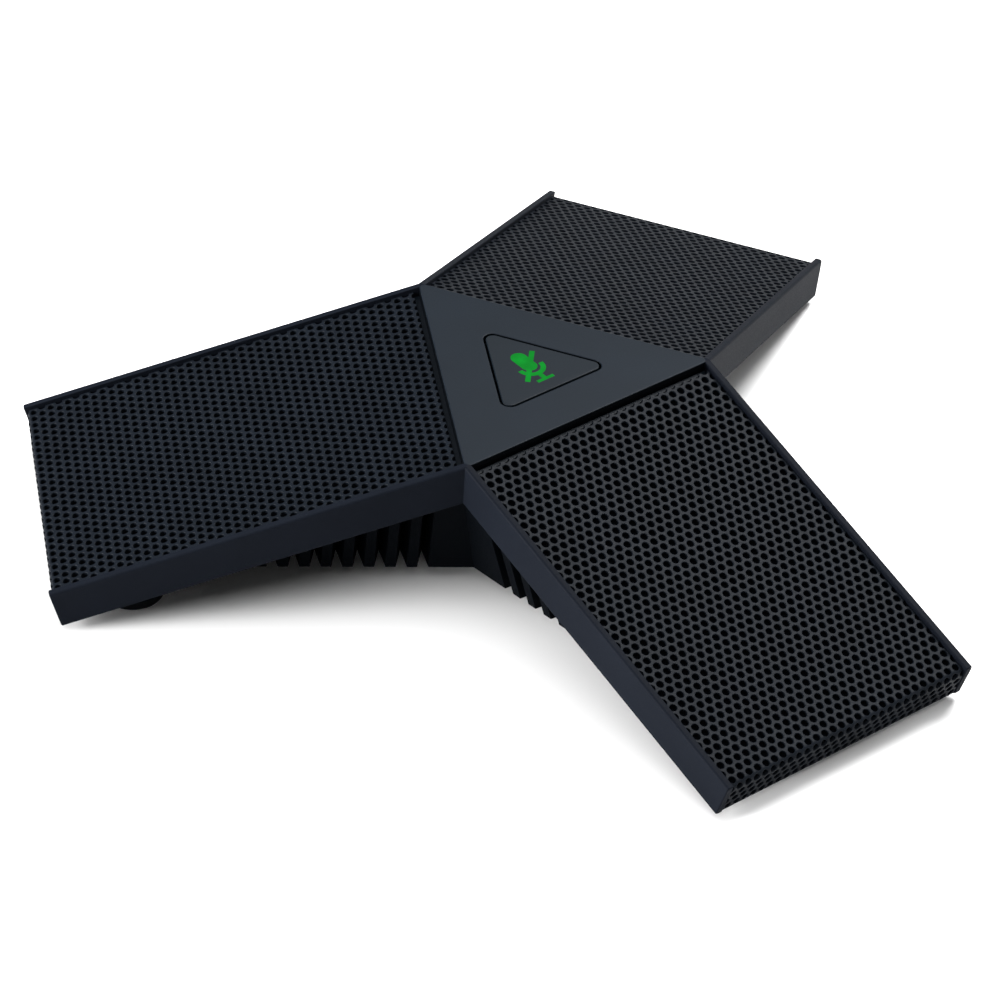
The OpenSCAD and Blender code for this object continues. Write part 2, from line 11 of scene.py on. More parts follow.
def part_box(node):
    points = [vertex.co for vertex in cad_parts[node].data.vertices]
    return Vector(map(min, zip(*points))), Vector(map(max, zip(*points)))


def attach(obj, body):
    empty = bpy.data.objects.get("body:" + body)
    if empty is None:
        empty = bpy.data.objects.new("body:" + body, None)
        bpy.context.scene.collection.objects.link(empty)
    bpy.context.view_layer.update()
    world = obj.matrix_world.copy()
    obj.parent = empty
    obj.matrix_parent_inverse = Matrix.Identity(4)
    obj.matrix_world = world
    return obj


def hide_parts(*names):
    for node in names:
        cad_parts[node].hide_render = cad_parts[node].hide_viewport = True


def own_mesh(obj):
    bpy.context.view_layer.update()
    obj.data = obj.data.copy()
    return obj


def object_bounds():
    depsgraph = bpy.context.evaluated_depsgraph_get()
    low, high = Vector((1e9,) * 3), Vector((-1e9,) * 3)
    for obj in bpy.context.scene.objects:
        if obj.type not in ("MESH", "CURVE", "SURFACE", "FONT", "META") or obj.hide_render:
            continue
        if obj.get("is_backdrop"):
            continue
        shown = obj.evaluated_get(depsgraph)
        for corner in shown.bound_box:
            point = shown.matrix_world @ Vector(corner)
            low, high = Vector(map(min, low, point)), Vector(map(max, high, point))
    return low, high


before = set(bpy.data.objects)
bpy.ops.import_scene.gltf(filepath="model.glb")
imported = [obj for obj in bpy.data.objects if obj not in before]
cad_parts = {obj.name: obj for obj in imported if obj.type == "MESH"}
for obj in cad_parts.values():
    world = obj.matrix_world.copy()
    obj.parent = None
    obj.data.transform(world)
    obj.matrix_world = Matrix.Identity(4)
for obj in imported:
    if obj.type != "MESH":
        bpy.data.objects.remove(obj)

bl_info = {
    "name": "Conference speakerphone",
    "version": (1, 0, 0),
    "blender": (4, 5, 0),
    "location": "View3D > Sidebar > Speakerphone",
    "description": "Builds a three-armed conference speakerphone round its packed frame",
    "category": "Object",
}

ARMS = {"left": 180, "front": 300, "rear": 60}
CORNERS = [0, 120, 240]
HOUSING = "housing"
KEY_BODY = "mute_button"

OVERLAP = 0.0001        # how far shapes that are one piece reach into each other
PROUD = 0.000012        # how far the highest CAD faces stand above the built ones
LENS_GAP = 0.00002      # between the icon's lens and the key under it
WELD = 1e-6             # points nearer than this are one point
DOME_SIDES = 72
LIGHTS = {              # where each light is, and its diameter
    "overhead": ((-0.2, 0.0, 1.1), 2.0),
    "crown": ((0.5, 0.45, 0.8), 0.5),
    "right": ((0.95, -0.25, 0.33), 0.5),
    "left": ((-0.97, -0.12, 0.22), 0.5),
}


# ---------------------------------------------------------------- sizes and finishes


def length(name, description, millimetres):
    return FloatProperty(name=name, description=description, default=millimetres / 1000, unit="LENGTH",
                         precision=5)


def colour(name, description, red, green, blue):
    return FloatVectorProperty(name=name, description=description, default=(red, green, blue),
                               subtype="COLOR", min=0, max=1)


class SpeakerphoneSizes(bpy.types.PropertyGroup):
    """Sizes of the housing, in metres"""

    arm_width: length("Arm width", "Across the outside of an arm's rails", 44.4)
    arm_length: length("Arm length", "Along the slope of an arm", 59.4)
    arm_tilt: FloatProperty(name="Arm tilt", description="Angle that an arm slopes down",
                            default=math.radians(17.65), subtype="ANGLE")
    rail_height: length("Rail height", "Square to the slope", 5.9)
    rail_thickness: length("Rail thickness", "Across a rail", 1.1)
    rail_round: length("Rail rounding", "Radius of a rail's outer top edge", 0.4)
    edge_round: length("Edge rounding", "Radius of the other moulded edges", 0.15)
    rail_inner_round: length("Rail inner rounding", "Radius of a rail's inner top edge", 0.22)
    rail_end_round: length("Rail end rounding", "Length of the taper at a rail's ends", 0.14)
    deck_thickness: length("Deck thickness", "Of the deck in the middle", 1.2)
    deck_corner: length("Deck corner", "Radius of the deck's corners", 0.6)
    skirt_thickness: length("Skirt thickness", "Of the wall under the deck's edge", 1.2)
    skirt_drop: length("Skirt drop", "From the deck's underside to the wall's lower edge", 1.3)
    shelf_thickness: length("Shelf thickness", "Of the shelf under a grille's edge at the hub", 0.9)
    shelf_reach: length("Shelf reach", "From a grille's edge at the hub to the shelf's edge", 1.4)
    shelf_root: length("Shelf root", "How far the shelf reaches back under the deck", 0.6)
    shelf_tuck: length("Shelf tuck", "How far the shelf's ends reach into the rails", 0.3)
    sheet_gap: length("Sheet gap", "From the deck's edge to a grille", 1.1)
    sheet_recess: length("Sheet recess", "From the rails' tops down to a grille", 0.6)
    sheet_setback: length("Sheet setback", "From the rails' ends back to a grille's end face", 0.15)
    sheet_thickness: length("Sheet thickness", "Of the perforated sheet", 0.5)
    sheet_fold: length("Sheet fold", "Outside radius of the fold at the tip", 0.85)
    sheet_foot: length("Sheet foot", "From the rails' bottom edge up to a grille's lower edge", 0.15)
    cloth_thickness: length("Cloth thickness", "Of the cloth behind a grille", 0.25)
    clearance: length("Clearance", "Between pieces that lie together", 0.05)
    hole_pitch: length("Hole pitch", "Between the holes of a row", 1.5)
    hole_diameter: length("Hole diameter", "Of a hole in the sheet", 1.08)
    hole_rim: length("Hole rim", "Width of the softened rim of a hole", 0.07)
    last_row: length("Last row", "From the last row of holes on the slope to the fold", 0.25)
    key_inradius: length("Key inradius", "From the middle of the key to its sides", 5.35)
    key_corner: length("Key corner", "Radius of the key's corners", 1.1)
    key_gap: length("Key gap", "Round the key", 0.33)
    flange_drop: length("Flange drop", "From the deck's underside down to the key's flange", 0.2)
    flange_thickness: length("Flange thickness", "Of the key's flange", 0.7)
    flange_reach: length("Flange reach", "From the key's sides out to its flange's sides", 1.2)
    pin_radius: length("Pin radius", "Of the key's pin over the switch", 1.0)
    key_travel: length("Key travel", "How far the key goes down", 0.35)
    dome_wall: length("Dome wall", "Of the silicone ring under the key", 0.7)
    dome_lean: length("Dome lean", "From the foot of the silicone ring in to its top", 0.6)
    hole_sides: IntProperty(name="Hole sides", description="Sides of a hole, a multiple of 6",
                            default=12, min=6)


class SpeakerphoneFinishes(bpy.types.PropertyGroup):
    """Colours of the finishes, as linear light"""

    deck: colour("Deck", "Satin plastic of the deck", 0.0037, 0.0067, 0.0108)
    rail: colour("Rail", "Satin plastic of the rails", 0.0047, 0.006, 0.0092)
    key: colour("Key", "Satin plastic of the key", 0.0037, 0.0065, 0.0098)
    base: colour("Base", "Black plastic of the base", 0.0009, 0.0014, 0.0022)
    sheet: colour("Sheet", "Coated steel of the grilles", 0.0042, 0.0058, 0.0086)
    cloth: colour("Cloth", "Woven cloth behind the grilles", 0.001, 0.0014, 0.0024)
    rubber: colour("Rubber", "Feet and boots", 0.003, 0.0035, 0.0045)
    icon: colour("Icon", "Light of the mute icon", 0.001, 0.29, 0.022)
    board: colour("Board", "Solder mask of the boards", 0.012, 0.075, 0.035)


class SpeakerphoneStage(bpy.types.PropertyGroup):
    """Camera, floor and lights"""

    azimuth: FloatProperty(name="Azimuth", description="Of the camera, from straight in front",
                           default=math.radians(-11.354), subtype="ANGLE")
    elevation: FloatProperty(name="Elevation", description="Of the camera above the table",
                             default=math.radians(37.067), subtype="ANGLE")
    roll: FloatProperty(name="Roll", description="Of the camera about its axis",
                        default=math.radians(3.832), subtype="ANGLE")
    distance: FloatProperty(name="Distance", description="From the camera to what it looks at",
                            default=0.65135, unit="LENGTH")
    aim: FloatVectorProperty(name="Aim", description="What the camera looks at, from the hub's top",
                             default=(-0.00922, -0.02978, 0.0), subtype="TRANSLATION")
    lens: FloatProperty(name="Lens", description="Focal length in millimetres", default=173.99)
    overhead: FloatProperty(name="Overhead", description="Power of the soft light above", default=18.0,
                            subtype="POWER")
    crown: FloatProperty(name="Crown", description="Power of the light high on the right", default=18.0,
                         subtype="POWER")
    right: FloatProperty(name="Right", description="Power of the low light on the right", default=2.2,
                         subtype="POWER")
    left: FloatProperty(name="Left", description="Power of the low light on the left", default=28.0,
                        subtype="POWER")
    surround: FloatProperty(name="Surround", description="Strength of the studio's walls", default=0.12)


def sizes():
    return bpy.context.scene.speakerphone_sizes


def finishes():
    return bpy.context.scene.speakerphone_finishes


def middle(node):
    low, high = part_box(node)
    return (low + high) / 2


def hub():
    """The hub's axis at deck level."""
    centre = middle("main_board")
    return Vector((centre.x, centre.y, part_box("top_frame")[1].z))


def deck_inradius():
    return sizes().arm_width / (2 * math.sqrt(3))


def arm_frame(angle):
    """X down an arm's slope from the deck's edge, Y across it, Z square to the slope."""
    return (Matrix.Translation(hub()) @ Matrix.Rotation(math.radians(angle), 4, "Z")
            @ Matrix.Translation((deck_inradius(), 0, 0)) @ Matrix.Rotation(sizes().arm_tilt, 4, "Y"))


# ---------------------------------------------------------------- mesh helpers


def new_piece(name, mesh, material, body=HOUSING, nodes=()):
    mesh.materials.clear()
    mesh.materials.append(material)
    piece = bpy.data.objects.new(name, mesh)
    bpy.context.scene.collection.objects.link(piece)
    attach(piece, body)
    if nodes:
        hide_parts(*nodes)
    return piece


def flatten_shading(piece):
    """Lets a piece's large faces set its shading, so that they look flat up to their rounded edges."""
    weighted = piece.modifiers.new("weighted", "WEIGHTED_NORMAL")
    weighted.keep_sharp = True
    weighted.weight = 100


def smooth(mesh, degrees=35):
    mesh.shade_smooth()
    mesh.set_sharp_from_angle(angle=math.radians(degrees))


def mesh_of(name, shape):
    """A mesh from a bmesh, with its normals outward."""
    bmesh.ops.recalc_face_normals(shape, faces=shape.faces)
    mesh = bpy.data.meshes.new(name)
    shape.to_mesh(mesh)
    shape.free()
    smooth(mesh)
    return mesh


def add_rings(shape, rings):
    """Skins a list of closed rings of points, and caps both ends."""
    skin = [[shape.verts.new(point) for point in ring] for ring in rings]
    count = len(skin[0])
    for before, after in zip(skin, skin[1:]):
        for i in range(count):
            j = (i + 1) % count
            shape.faces.new((before[i], before[j], after[j], after[i]))
    shape.faces.new(reversed(skin[0]))
    shape.faces.new(skin[-1])


def arc(centre, radius, start, end, steps):
    return [(centre[0] + radius * math.cos(math.radians(start + (end - start) * i / steps)),
             centre[1] + radius * math.sin(math.radians(start + (end - start) * i / steps)))
            for i in range(steps + 1)]


def rounded_box_outline(low, high, radii, steps=4):
    """Outline of a rectangle whose corners have their own radii, anticlockwise from the lower left."""
    places = [(low[0], low[1], 1, 1, 180), (high[0], low[1], -1, 1, 270),
              (high[0], high[1], -1, -1, 0), (low[0], high[1], 1, -1, 90)]
    outline = []
    for (x, y, inward_x, inward_y, start), radius in zip(places, radii):
        outline += arc((x + inward_x * radius, y + inward_y * radius), radius, start, start + 90, steps)
    return outline


def triangle_outline(inradius, corner, steps=10):
    """Outline of a triangle with round corners that point at CORNERS."""
    outline = []
    for angle in CORNERS:
        reach = 2 * (inradius - corner)
        centre = (reach * math.cos(math.radians(angle)), reach * math.sin(math.radians(angle)))
        outline += arc(centre, corner, angle - 60, angle + 60, steps)
    return outline


def circle(radius, sides):
    return [(radius * math.cos(math.tau * k / sides), radius * math.sin(math.tau * k / sides))
            for k in range(sides)]


def plate(name, outlines, bottom, top, bevel):
    """A flat plate between two heights over the hub, with rounded edges. Later outlines are openings."""
    curve = bpy.data.curves.new(name, "CURVE")
    curve.dimensions = "2D"
    curve.fill_mode = "BOTH"
    curve.extrude = (top - bottom) / 2 - bevel
    curve.bevel_depth = bevel
    curve.bevel_resolution = 3
    for outline in outlines:
        spline = curve.splines.new("POLY")
        spline.points.add(len(outline) - 1)
        for point, (x, y) in zip(spline.points, outline):
            point.co = (x, y, 0, 1)
        spline.use_cyclic_u = True
    holder = bpy.data.objects.new(name, curve)
    bpy.context.scene.collection.objects.link(holder)
    bpy.context.view_layer.update()
    mesh = bpy.data.meshes.new_from_object(holder.evaluated_get(bpy.context.evaluated_depsgraph_get()))
    bpy.data.objects.remove(holder)
    bpy.data.curves.remove(curve)
    shape = bmesh.new()
    shape.from_mesh(mesh)
    bpy.data.meshes.remove(mesh)
    bmesh.ops.remove_doubles(shape, verts=shape.verts, dist=2 * WELD)
    centre = hub()
    bmesh.ops.translate(shape, verts=shape.verts, vec=(centre.x, centre.y, (bottom + top) / 2))
    return shape


def joined(name, shapes):
    whole = bmesh.new()
    for shape in shapes:
        part = bpy.data.meshes.new("part")
        bmesh.ops.recalc_face_normals(shape, faces=shape.faces)
        shape.to_mesh(part)
        shape.free()
        whole.from_mesh(part)
        bpy.data.meshes.remove(part)
    mesh = bpy.data.meshes.new(name)
    whole.to_mesh(mesh)
    whole.free()
    smooth(mesh)
    return mesh


# ---------------------------------------------------------------- finishes


class Finish:
    """A node material with its shader, and short ways to add textures in the object's own space."""

    def __init__(self, name, base=(0.5, 0.5, 0.5), roughness=0.5, metallic=0.0, specular=0.5, **sockets):
        self.material = bpy.data.materials.new(name)
        self.material.use_nodes = True
        self.tree = self.material.node_tree
        self.shader = self.tree.nodes["Principled BSDF"]
        self.shader.inputs["Base Color"].default_value = (*base, 1)
        self.shader.inputs["Roughness"].default_value = roughness
        self.shader.inputs["Metallic"].default_value = metallic
        self.shader.inputs["Specular IOR Level"].default_value = specular
        for socket, value in sockets.items():
            self.shader.inputs[socket.replace("_", " ")].default_value = value
        self.place = self.tree.nodes.new("ShaderNodeTexCoord").outputs["Object"]

    def node(self, kind, **settings):
        made = self.tree.nodes.new(kind)
        for setting, value in settings.items():
            setattr(made, setting, value)
        return made

    def link(self, output, socket):
        self.tree.links.new(output, socket)

    def noise(self, size, detail=2.0, roughness=0.5):
        made = self.node("ShaderNodeTexNoise")
        made.inputs["Scale"].default_value = 1 / size
        made.inputs["Detail"].default_value = detail
        made.inputs["Roughness"].default_value = roughness
        self.link(self.place, made.inputs["Vector"])
        return made.outputs["Fac"]

    def spread(self, value, low, high, source=(0.3, 0.7)):
        made = self.node("ShaderNodeMapRange")
        for socket, number in zip(("From Min", "From Max", "To Min", "To Max"), (*source, low, high)):
            made.inputs[socket].default_value = number
        self.link(value, made.inputs["Value"])
        return made.outputs["Result"]

    def shade(self, value, dark, light):
        """Base colour that runs from dark to light with a value."""
        ramp = self.node("ShaderNodeValToRGB")
        ramp.color_ramp.elements[0].position = 0.3
        ramp.color_ramp.elements[1].position = 0.7
        ramp.color_ramp.elements[0].color = (*dark, 1)
        ramp.color_ramp.elements[1].color = (*light, 1)
        self.link(value, ramp.inputs["Fac"])
        self.link(ramp.outputs["Color"], self.shader.inputs["Base Color"])

    def bump(self, value, height, strength=1.0):
        made = self.node("ShaderNodeBump")
        made.inputs["Strength"].default_value = strength
        made.inputs["Distance"].default_value = height
        self.link(value, made.inputs["Height"])
        self.link(made.outputs["Normal"], self.shader.inputs["Normal"])

    def rough(self, value, low, high):
        self.link(self.spread(value, low, high), self.shader.inputs["Roughness"])


def scaled(rgb, factor):
    return tuple(channel * factor for channel in rgb)


def satin_plastic(name, rgb, roughness, specular, grain=0.00022, height=0.000012):
    """Moulded plastic with a fine spark texture, a little mottled."""
    finish = Finish(name, rgb, roughness, specular=specular)
    broad = finish.noise(0.009, 4)
    fine = finish.noise(grain, 2)
    finish.shade(broad, scaled(rgb, 0.92), scaled(rgb, 1.08))
    finish.rough(fine, roughness - 0.05, roughness + 0.06)
    finish.bump(fine, height, 0.5)
    return finish.material


def coated_steel(rgb):
    """Perforated steel under a fine powder coat."""
    finish = Finish("coated_steel", rgb, 0.5, specular=0.045)
    broad = finish.noise(0.006, 4)
    fine = finish.noise(0.00025, 3)
    finish.shade(broad, scaled(rgb, 0.88), scaled(rgb, 1.12))
    finish.rough(fine, 0.44, 0.58)
    finish.bump(fine, 0.00002, 0.6)
    return finish.material


def woven_cloth(rgb):
    """Black acoustic cloth: two sets of threads that cross."""
    finish = Finish("woven_cloth", rgb, 0.95, specular=0.02)
    waves = []
    for axis in ("X", "Y"):
        wave = finish.node("ShaderNodeTexWave", wave_type="BANDS", bands_direction=axis)
        wave.inputs["Scale"].default_value = 900
        wave.inputs["Distortion"].default_value = 0.6
        wave.inputs["Detail"].default_value = 1.0
        finish.link(finish.place, wave.inputs["Vector"])
        waves.append(wave.outputs["Fac"])
    weave = finish.node("ShaderNodeMath", operation="MULTIPLY")
    finish.link(waves[0], weave.inputs[0])
    finish.link(waves[1], weave.inputs[1])
    finish.shade(weave.outputs["Value"], scaled(rgb, 0.6), scaled(rgb, 1.7))
    finish.bump(weave.outputs["Value"], 0.00005)
    return finish.material


def soft_rubber(name, rgb):
    finish = Finish(name, rgb, 0.75, specular=0.04)
    broad = finish.noise(0.004, 4)
    fine = finish.noise(0.0003, 3)
    finish.shade(broad, scaled(rgb, 0.8), scaled(rgb, 1.3))
    finish.rough(broad, 0.68, 0.85)
    finish.bump(fine, 0.00002, 0.5)
    return finish.material


def glowing_icon(rgb):
    """Translucent lens with light behind it, a little stronger in places."""
    finish = Finish("glowing_icon", (0.001, 0.012, 0.002), 0.6, specular=0.02)
    broad = finish.noise(0.0016, 2)
    ramp = finish.node("ShaderNodeValToRGB")
    ramp.color_ramp.elements[0].position = 0.25
    ramp.color_ramp.elements[1].position = 0.75
    ramp.color_ramp.elements[0].color = (*scaled(rgb, 0.72), 1)
    ramp.color_ramp.elements[1].color = (*scaled(rgb, 1.08), 1)
    finish.link(broad, ramp.inputs["Fac"])
    finish.link(ramp.outputs["Color"], finish.shader.inputs["Emission Color"])
    finish.shader.inputs["Emission Strength"].default_value = 1.0
    return finish.material


def clear_guide():
    finish = Finish("clear_guide", (0.75, 0.85, 0.8), 0.25, specular=0.5, Transmission_Weight=0.6)
    finish.bump(finish.noise(0.0005, 2), 0.00001, 0.4)
    return finish.material


def tinted(name, rgb, roughness, metallic=0.0, grain=0.0006, contrast=0.15, height=0.00001):
    """A plain finish for the pieces inside: mottled colour, uneven gloss and a slight grain."""
    finish = Finish(name, rgb, roughness, metallic)
    broad = finish.noise(grain * 8, 3)
    fine = finish.noise(grain, 3)
    finish.shade(broad, scaled(rgb, 1 - contrast), scaled(rgb, 1 + contrast))
    finish.rough(fine, max(roughness - 0.08, 0.05), roughness + 0.1)
    finish.bump(fine, height, 0.5)
    return finish.material


def circuit_board(rgb):
    """Solder mask over copper tracks."""
    finish = Finish("circuit_board", rgb, 0.35, specular=0.5)
    tracks = finish.node("ShaderNodeTexBrick")
    tracks.inputs["Scale"].default_value = 260
    tracks.inputs["Mortar Size"].default_value = 0.08
    tracks.inputs["Color1"].default_value = (*rgb, 1)
    tracks.inputs["Color2"].default_value = (*scaled(rgb, 0.8), 1)
    tracks.inputs["Mortar"].default_value = (*scaled(rgb, 1.7), 1)
    finish.link(finish.place, tracks.inputs["Vector"])
    finish.link(tracks.outputs["Color"], finish.shader.inputs["Base Color"])
    finish.bump(tracks.outputs["Fac"], 0.00002, 0.5)
    return finish.material


def dress(material, *names):
    """Gives CAD nodes a finish."""
    for name in names:
        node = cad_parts[name]
        node.data.materials.clear()
        node.data.materials.append(material)


def soften(width, *names, segments=2, angle=40):
    """Rounds the sharp edges of CAD nodes. Only modifiers are added."""
    for name in names:
        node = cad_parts[name]
        weld = node.modifiers.new("weld", "WELD")
        weld.merge_threshold = 2 * WELD
        planar = node.modifiers.new("planar", "DECIMATE")
        planar.decimate_type = "DISSOLVE"
        planar.angle_limit = math.radians(0.6)
        bevel = node.modifiers.new("bevel", "BEVEL")
        bevel.width = width
        bevel.segments = segments
        bevel.limit_method = "ANGLE"
        bevel.angle_limit = math.radians(angle)
        bevel.use_clamp_overlap = True
        bevel.harden_normals = True


# ---------------------------------------------------------------- housing


class SPEAKERPHONE_OT_top_frame(bpy.types.Operator):
    """Build the deck and the three rails that run round its corners"""

    bl_idname = "speakerphone.top_frame"
    bl_label = "Top frame"

    def execute(self, context):
        size = sizes()
        plastic = satin_plastic("deck_plastic", tuple(finishes().deck), 0.5, 0.1)
        rail_plastic = satin_plastic("rail_plastic", tuple(finishes().rail), 0.55, 0.022)
        deck_top = hub().z
        inradius = deck_inradius()
        underside = deck_top - size.deck_thickness
        opening = triangle_outline(size.key_inradius + size.key_gap + size.edge_round,
                                   size.key_corner + size.key_gap + size.edge_round)
        edge = triangle_outline(inradius - size.edge_round, size.deck_corner)
        deck = plate("deck", [edge, opening], underside, deck_top, size.edge_round)
        skirt = [triangle_outline(inradius - size.clearance, size.deck_corner),
                 triangle_outline(inradius - size.skirt_thickness, size.deck_corner)]
        wall = plate("skirt", skirt, underside - size.skirt_drop, underside + 2 * OVERLAP, 0)
        shelves = [self.shelf(angle) for angle in ARMS.values()]
        piece = new_piece("deck", joined("deck", [deck, wall, *shelves]), plastic,
                          nodes=["top_frame"])
        # Painted shade: every steep face of the deck piece (its edge, the skirt and the shelves) gets the
        # base's darker plastic, so it reads as shadowed.
        piece.data.materials.append(satin_plastic("shadow_plastic", tuple(finishes().base), 0.6, 0.02))
        for face in piece.data.polygons:
            if abs(face.normal.z) < math.sin(math.radians(30)):
                face.material_index = 1
        flatten_shading(piece)
        for corner in CORNERS:
            name = f"rail_{corner}"
            piece = new_piece(name, mesh_of(name, self.rail(corner)), rail_plastic,
                              nodes=["top_frame"])
            flatten_shading(piece)
        return {"FINISHED"}

    def shelf(self, angle):
        """Shelf under the hub edge of a grille."""
        size = sizes()
        top = -(size.sheet_recess + size.sheet_thickness + size.cloth_thickness + 3 * size.clearance)
        half = size.arm_width / 2 - size.rail_thickness + size.shelf_tuck
        low = (-size.shelf_root, top - size.shelf_thickness)
        high = (size.sheet_gap + size.shelf_reach, top)
        outline = rounded_box_outline(low, high, [0.0001] * 4)
        shape = bmesh.new()
        to_world = arm_frame(angle)
        add_rings(shape, [[to_world @ Vector((x, y, z)) for x, z in outline] for y in (-half, half)])
        return shape

    def rail(self, corner):
        """One rail, from the tip of an arm round a corner of the deck to the tip of the next arm."""
        size = sizes()
        outer = size.arm_width / 2
        inner = outer - size.rail_thickness
        top = -PROUD
        end_width, end_height = 0.76, 0.955     # shares of the section that are left at a rail's ends
        near_top = -0.001
        outline = rounded_box_outline((inner, -size.rail_height), (outer, top), [
            size.edge_round, size.rail_inner_round, size.rail_round, size.edge_round])
        middle_y, middle_z = (inner + outer) / 2, (top - size.rail_height) / 2
        inset = [(middle_y + (y - middle_y) * end_width, middle_z + (z - middle_z) * end_height)
                 for y, z in outline]
        seam = Vector((-math.sin(math.radians(corner)), math.cos(math.radians(corner)), 0))
        rings = []
        for angle, side in ((corner - 60, 1), (corner + 60, -1)):
            to_world = arm_frame(angle)
            run = to_world.to_3x3() @ Vector((1, 0, 0))

            def ring(points, x):
                return [to_world @ Vector((x, side * y, z)) for y, z in points]

            half = [ring(inset, size.arm_length), ring(outline, size.arm_length - size.rail_end_round),
                    ring(outline, 0)]
            if side > 0:
                mitre = []
                for (y, z), ridge in zip(outline, half[2]):
                    place = ridge - run * ((ridge - hub()).dot(seam) / run.dot(seam))
                    if z > near_top:
                        place.z = ridge.z
                    mitre.append(place)
                rings = half + [mitre]
            else:
                rings += half[::-1]
        shape = bmesh.new()
        add_rings(shape, rings)
        bmesh.ops.remove_doubles(shape, verts=shape.verts, dist=WELD)
        return shape


# ---------------------------------------------------------------- grilles and cloth


class FoldedSheet:
    """Maps a flat sheet, run and across, onto an arm: down the slope, round the fold and down the tip."""

    def __init__(self, angle, depth, thickness):
        size = sizes()
        self.to_world = arm_frame(angle)
        self.depth = depth
        self.thickness = thickness
        self.start = size.sheet_gap
        self.fold = size.sheet_fold
        self.slope = size.arm_length - size.sheet_setback - size.sheet_fold - size.sheet_gap
        self.turn = self.fold * math.pi / 2
        self.drop = size.rail_height - size.sheet_foot - size.sheet_recess - size.sheet_fold
        self.run = self.slope + self.turn + self.drop
        self.half_width = size.arm_width / 2 - size.rail_thickness - size.clearance
        self.top = -size.sheet_recess

    def place(self, run, across, below):
        """Where a point of the flat sheet lies, below its top face."""
        radius = self.fold - self.depth - below
        if run <= self.slope:
            x, z = self.start + run, self.top - self.fold + radius
        elif run <= self.slope + self.turn:
            turned = (run - self.slope) / self.fold
            x = self.start + self.slope + radius * math.sin(turned)
            z = self.top - self.fold + radius * math.cos(turned)
        else:
            x = self.start + self.slope + radius
            z = self.top - self.fold - (run - self.slope - self.turn)
        return self.to_world @ Vector((x, across, z))

    def trim(self, shape):
        """Cuts a flat mesh to the sheet's outline, and again along the fold so that it can bend."""
        half = self.half_width
        for place, normal in (((0, 0, 0), (-1, 0, 0)), ((self.run, 0, 0), (1, 0, 0)),
                              ((0, half, 0), (0, 1, 0)), ((0, -half, 0), (0, -1, 0))):
            self.cut(shape, place, normal, True)
        steps = 8
        for step in range(steps + 1):
            self.cut(shape, (self.slope + self.turn * step / steps, 0, 0), (1, 0, 0), False)

    def cut(self, shape, place, normal, clear):
        parts = shape.verts[:] + shape.edges[:] + shape.faces[:]
        bmesh.ops.bisect_plane(shape, geom=parts, dist=1e-7, plane_co=place, plane_no=normal,
                               clear_outer=clear)

    def solid(self, name, flat, sunk):
        """Gives a flat mesh its thickness on the arm. sunk(point) is how far its top is pressed in."""
        flat.verts.index_update()
        points = [vert.co.copy() for vert in flat.verts]
        count = len(points)
        rims = [[vert.index for vert in edge.verts] for edge in flat.edges if len(edge.link_faces) == 1]
        faces = [[vert.index for vert in face.verts] for face in flat.faces]
        turned = {(ring[i - 1], ring[i]) for ring in faces for i in range(len(ring))}
        verts = [self.place(p.x, p.y, sunk(p)) for p in points]
        verts += [self.place(p.x, p.y, self.thickness) for p in points]
        lower = [[i + count for i in reversed(ring)] for ring in faces]
        sides = []
        for a, b in rims:
            if (a, b) not in turned:
                a, b = b, a
            sides.append([b, a, a + count, b + count])
        mesh = bpy.data.meshes.new(name)
        mesh.from_pydata(verts, [], faces + lower + sides)
        mesh.validate()
        smooth(mesh)
        flat.free()
        return mesh


def row_spacing():
    return sizes().hole_pitch * math.sqrt(3) / 2


def hole_rows(sheet):
    """(where a row runs, how far it is shifted across) for each row of a grille."""
    size = sizes()
    spacing = row_spacing()
    last = sheet.slope - size.last_row
    before = math.ceil((last + size.hole_pitch) / spacing)
    after = math.ceil((sheet.run - last + size.hole_pitch) / spacing)
    return [(last + k * spacing, row_shift(k)) for k in range(-before, after + 1)]


def row_shift(k):
    """Every other row has a hole in the middle of the arm, and the last row on the slope hasn't."""
    return (k + 1) % 2 * sizes().hole_pitch / 2


def flat_grille(sheet):
    """Six-sided cells, each with its hole, wider than the sheet on every side."""
    size = sizes()
    sides = size.hole_sides
    pitch = size.hole_pitch
    ring_angles = [2 * math.pi * i / sides for i in range(sides)]
    radius = size.hole_diameter / 2
    sixth = math.pi / 3
    across = [pitch / 2 / math.cos((angle + sixth / 2) % sixth - sixth / 2) for angle in ring_angles]
    columns = math.ceil(sheet.half_width / pitch) + 1
    shape = bmesh.new()
    corners = {}

    def corner(x, y):
        key = (round(x * 1e7), round(y * 1e7))
        if key not in corners:
            corners[key] = shape.verts.new((x, y, 0))
        return corners[key]

    for run, shift in hole_rows(sheet):
        for column in range(-columns, columns + 1):
            y = column * pitch + shift
            if abs(y) > sheet.half_width + pitch:
                continue
            outer = [corner(run + r * math.sin(a), y + r * math.cos(a))
                     for a, r in zip(ring_angles, across)]
            rims = [[shape.verts.new((run + r * math.sin(a), y + r * math.cos(a), 0))
                     for a in ring_angles] for r in (radius + size.hole_rim, radius)]
            for before, after in ((outer, rims[0]), (rims[0], rims[1])):
                for i in range(sides):
                    shape.faces.new((before[i - 1], before[i], after[i], after[i - 1]))
    return shape


